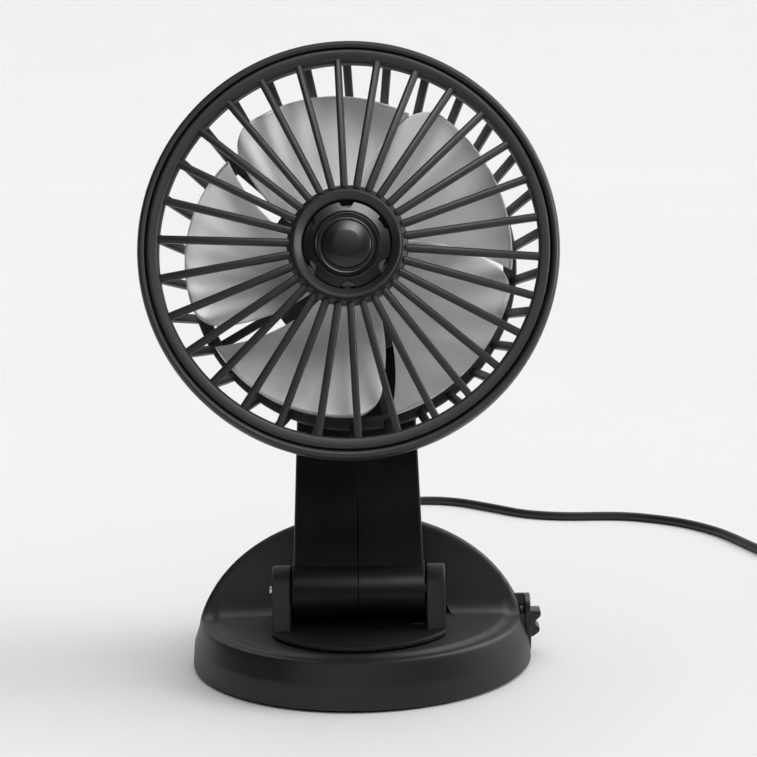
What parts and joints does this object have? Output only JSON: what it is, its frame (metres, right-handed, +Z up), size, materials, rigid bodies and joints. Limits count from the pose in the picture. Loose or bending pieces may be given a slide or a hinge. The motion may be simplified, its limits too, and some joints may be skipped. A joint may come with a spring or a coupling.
{
  "type": "desk fan",
  "caption": "Small round desk fan: a slotted guard head that tilts on a folding arm, on a weighted domed base with a turntable, a side switch and a free cable.",
  "frame": {"origin": "on the table, under the middle of the round base", "axes": "+Z up, the fan blows towards -Y, +X is the side with the switch"},
  "size_m": [0.2755, 0.2755, 0.199],
  "materials": {
    "matte_black_plastic": "fine matte, slightly satin",
    "satin_black_plastic": "satin",
    "pale_grey_plastic": "smooth, translucent-looking satin",
    "bright_steel": "plain bright",
    "brass": "plain",
    "black_rubber": "matte",
    "circuit_board_green": "coated board",
    "cable_jacket": "smooth soft vinyl",
    "white_plastic": "satin"
  },
  "bodies": {
    "base": {"base_shell": "matte_black_plastic", "base_plate": "matte_black_plastic", "base_weight": "bright_steel", "base_screw_1": "bright_steel", "base_screw_2": "bright_steel", "base_screw_3": "bright_steel", "base_screw_4": "bright_steel", "foot_pad_1": "black_rubber", "foot_pad_2": "black_rubber", "foot_pad_3": "black_rubber", "foot_pad_4": "black_rubber", "circuit_board": "circuit_board_green", "board_capacitor": "satin_black_plastic", "switch_body": "satin_black_plastic", "switch_terminal_1": "brass", "switch_terminal_2": "brass", "lead_grommet": "black_rubber", "power_lead": "cable_jacket", "lead_coil": "cable_jacket", "lead_tail": "cable_jacket", "lead_tie": "black_rubber", "plug_relief": "black_rubber", "plug_body": "matte_black_plastic", "plug_shell": "bright_steel", "plug_tongue": "white_plastic"},
    "turntable": {"turntable": "matte_black_plastic", "turntable_washer": "bright_steel", "turntable_screw": "bright_steel", "hinge_pin": "bright_steel"},
    "arm": {"arm_left": "matte_black_plastic", "arm_right": "matte_black_plastic", "hinge_sleeve": "brass", "arm_screw_1": "bright_steel", "arm_screw_2": "bright_steel", "tilt_pin": "bright_steel"},
    "head": {"rear_guard": "matte_black_plastic", "front_grille": "matte_black_plastic", "hub_cap": "satin_black_plastic", "motor": "bright_steel", "motor_bearing": "brass", "motor_screw_1": "bright_steel", "motor_screw_2": "bright_steel", "motor_screw_3": "bright_steel", "head_bracket": "matte_black_plastic", "bracket_screw_1": "bright_steel", "bracket_screw_2": "bright_steel", "bracket_screw_3": "bright_steel"},
    "rotor": {"rotor": "pale_grey_plastic", "motor_shaft": "bright_steel"},
    "rocker": {"switch_rocker": "satin_black_plastic"}
  },
  "joints": [
    {"name": "turntable_swivel", "type": "hinge", "parent": "base", "child": "turntable", "pos_m": [0, -0.0135, 0.0165], "axis": [0, 0, 1], "range_deg": [-90, 90]},
    {"name": "arm_lean", "type": "hinge", "parent": "turntable", "child": "arm", "pos_m": [0, -0.0135, 0.0271], "axis": [1, 0, 0], "range_deg": [-14, 36]},
    {"name": "head_tilt", "type": "hinge", "parent": "arm", "child": "head", "pos_m": [0, 0.01406, 0.12323], "axis": [1, 0, 0], "range_deg": [-35, 10]},
    {"name": "rotor_spin", "type": "hinge", "parent": "head", "child": "rotor", "pos_m": [0, 0.01406, 0.12323], "axis": [0, -0.9613, 0.2756], "continuous": true},
    {"name": "rocker_tip", "type": "hinge", "parent": "base", "child": "rocker", "pos_m": [0.0519, 0.004, 0.0106], "axis": [0, 1, 0], "range_deg": [-9, 0]}
  ]
}
